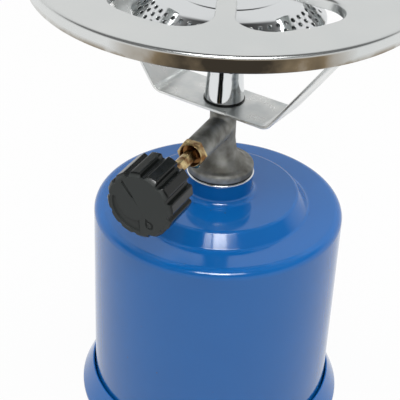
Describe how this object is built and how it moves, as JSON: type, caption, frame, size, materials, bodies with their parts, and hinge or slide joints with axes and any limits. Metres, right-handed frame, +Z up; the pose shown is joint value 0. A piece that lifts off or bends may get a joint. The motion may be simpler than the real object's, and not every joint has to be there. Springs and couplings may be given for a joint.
{
  "type": "cartridge camping stove",
  "caption": "Table-top camping stove: blue round casing over a gas cartridge, side valve with a lobed knob, domed burner and a round pan support with fingers.",
  "frame": {"origin": "centre of the base pan's underside, on the table under the burner's axis", "axes": "+Z up along the burner's axis; the valve's arm and knob point along -Y"},
  "size_m": [0.147, 0.147, 0.1948],
  "materials": {
    "blue_enamel": "gloss",
    "cartridge_paint": "gloss",
    "plated_bush": "polished",
    "zinc": "satin",
    "steel": "satin",
    "rubber": "matte",
    "brass": "satin",
    "knob_plastic": "satin",
    "bright_plate": "polished"
  },
  "bodies": {
    "base": {"base_pan": "blue_enamel", "gas_cartridge": "cartridge_paint"},
    "casing": {"casing": "blue_enamel", "threaded_bush": "plated_bush"},
    "seal": {"cartridge_seal": "rubber"},
    "burner": {"valve_body": "zinc", "piercing_needle": "steel", "gland_nut": "brass", "packing_washer": "brass", "spindle_packing": "rubber", "jet": "brass", "jet_filter": "steel", "pan_bracket": "bright_plate", "tube_washer": "steel", "burner_tube": "bright_plate", "burner_cup": "bright_plate", "burner_cap": "bright_plate", "pan_support": "bright_plate"},
    "valve_pad": {"valve_pad": "rubber"},
    "knob": {"spindle": "brass", "knob": "knob_plastic", "knob_clip": "steel"}
  },
  "joints": [
    {"name": "casing_turn", "type": "hinge", "parent": "base", "child": "casing", "pos_m": [0, 0, 0.01], "axis": [0, 0, 1], "range_deg": [0, 25]},
    {"name": "burner_lift", "type": "slide", "parent": "casing", "child": "seal", "axis": [0, 0, 1], "range_m": [0, 0.0136]},
    {"name": "burner_turn", "type": "hinge", "parent": "seal", "child": "burner", "pos_m": [0, 0, 0.11], "axis": [0, 0, 1], "range_deg": [0, 3240]},
    {"name": "spindle_travel", "type": "slide", "parent": "burner", "child": "valve_pad", "axis": [0, -1, 0], "range_m": [0, 0.0018]},
    {"name": "knob_turn", "type": "hinge", "parent": "valve_pad", "child": "knob", "pos_m": [0, -0.058, 0.13], "axis": [0, -1, 0], "range_deg": [0, 720]}
  ],
  "couplings": [
    {"joint": "burner_lift", "follows": "burner_turn", "m_per_rad": 0.00023873},
    {"joint": "spindle_travel", "follows": "knob_turn", "m_per_rad": 0.00012732}
  ]
}
